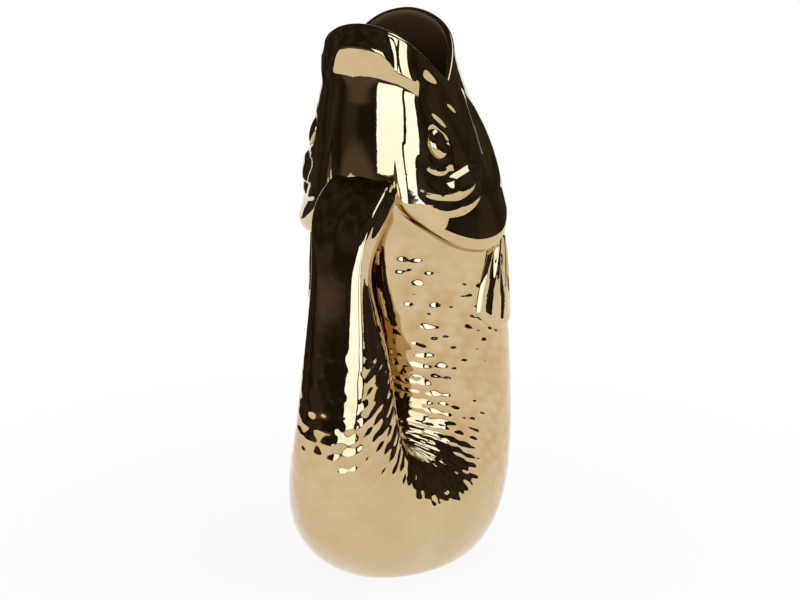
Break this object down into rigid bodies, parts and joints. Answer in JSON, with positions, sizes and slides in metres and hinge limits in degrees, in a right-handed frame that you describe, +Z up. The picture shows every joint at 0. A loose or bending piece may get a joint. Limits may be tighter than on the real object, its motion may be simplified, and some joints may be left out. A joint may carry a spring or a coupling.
{
  "type": "fish-shaped carafe",
  "caption": "Gold-glazed ceramic carafe shaped as a fish standing upright, with an open mouth as spout, gill covers, fins and a tail that curls up behind as the handle",
  "frame": {"origin": "Centre of the bounding box at the bottom, on the plane of the foot", "axes": "+Z up from the foot to the mouth, +X towards the belly and the lower jaw, -X towards the tail handle, -Y the flank seen in the picture"},
  "size_m": [0.1502, 0.1132, 0.2973],
  "materials": {
    "gold_glaze": "mirror-bright gold lustre fired over a glazed stoneware body"
  },
  "bodies": {
    "root": {"head": "gold_glaze", "body": "gold_glaze", "tail": "gold_glaze", "tail_fin": "gold_glaze", "gill_cover_right": "gold_glaze", "gill_cover_left": "gold_glaze", "pectoral_fin_right": "gold_glaze", "pectoral_fin_left": "gold_glaze", "eye_right": "gold_glaze", "eye_left": "gold_glaze"}
  },
  "joints": []
}
